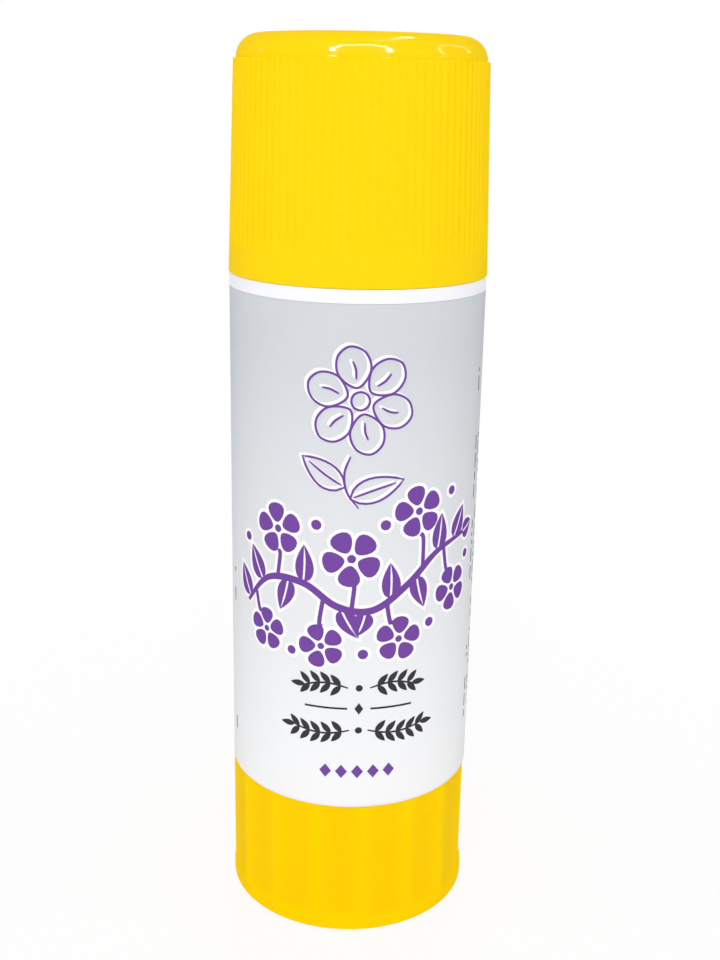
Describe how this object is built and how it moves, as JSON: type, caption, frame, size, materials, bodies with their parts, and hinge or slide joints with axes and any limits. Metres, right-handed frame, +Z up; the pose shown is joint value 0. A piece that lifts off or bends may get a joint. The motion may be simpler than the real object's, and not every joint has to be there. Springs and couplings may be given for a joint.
{
  "type": "glue stick",
  "caption": "Large twist-up glue stick: a ribbed yellow pull-off cap, a labelled white barrel, and a fluted yellow knob that raises the glue on a screw.",
  "frame": {"origin": "centre of the foot ring's plane under the knob, on the turning axis", "axes": "+Z up the stick's axis, from the knob to the cap; the print faces -Y and the label's seam is at +Y"},
  "size_m": [0.0442, 0.0442, 0.1549],
  "materials": {
    "barrel_white": "satin moulded polypropylene",
    "label_film": "printed film, grey above fading to white below",
    "cap_yellow": "gloss moulded polypropylene",
    "knob_yellow": "satin moulded polypropylene",
    "spindle_white": "plain moulded polypropylene",
    "carrier_white": "plain moulded polypropylene",
    "glue_white": "waxy solid glue"
  },
  "bodies": {
    "barrel": {"barrel": "barrel_white", "label": "label_film"},
    "knob": {"knob": "knob_yellow", "spindle": "spindle_white"},
    "carrier": {"carrier": "carrier_white", "glue": "glue_white"},
    "cap": {"cap": "cap_yellow"}
  },
  "joints": [
    {"name": "knob_turn", "type": "hinge", "parent": "barrel", "child": "knob", "pos_m": [0, 0, 0.0125], "axis": [0, 0, 1], "range_deg": [0, 1080]},
    {"name": "glue_rise", "type": "slide", "parent": "barrel", "child": "carrier", "axis": [0, 0, 1], "range_m": [0, 0.018]},
    {"name": "cap_pull", "type": "slide", "parent": "barrel", "child": "cap", "axis": [0, 0, 1], "range_m": [0, 0.05]}
  ],
  "couplings": [
    {"joint": "knob_turn", "follows": "glue_rise", "rad_per_m": 1047.2}
  ]
}
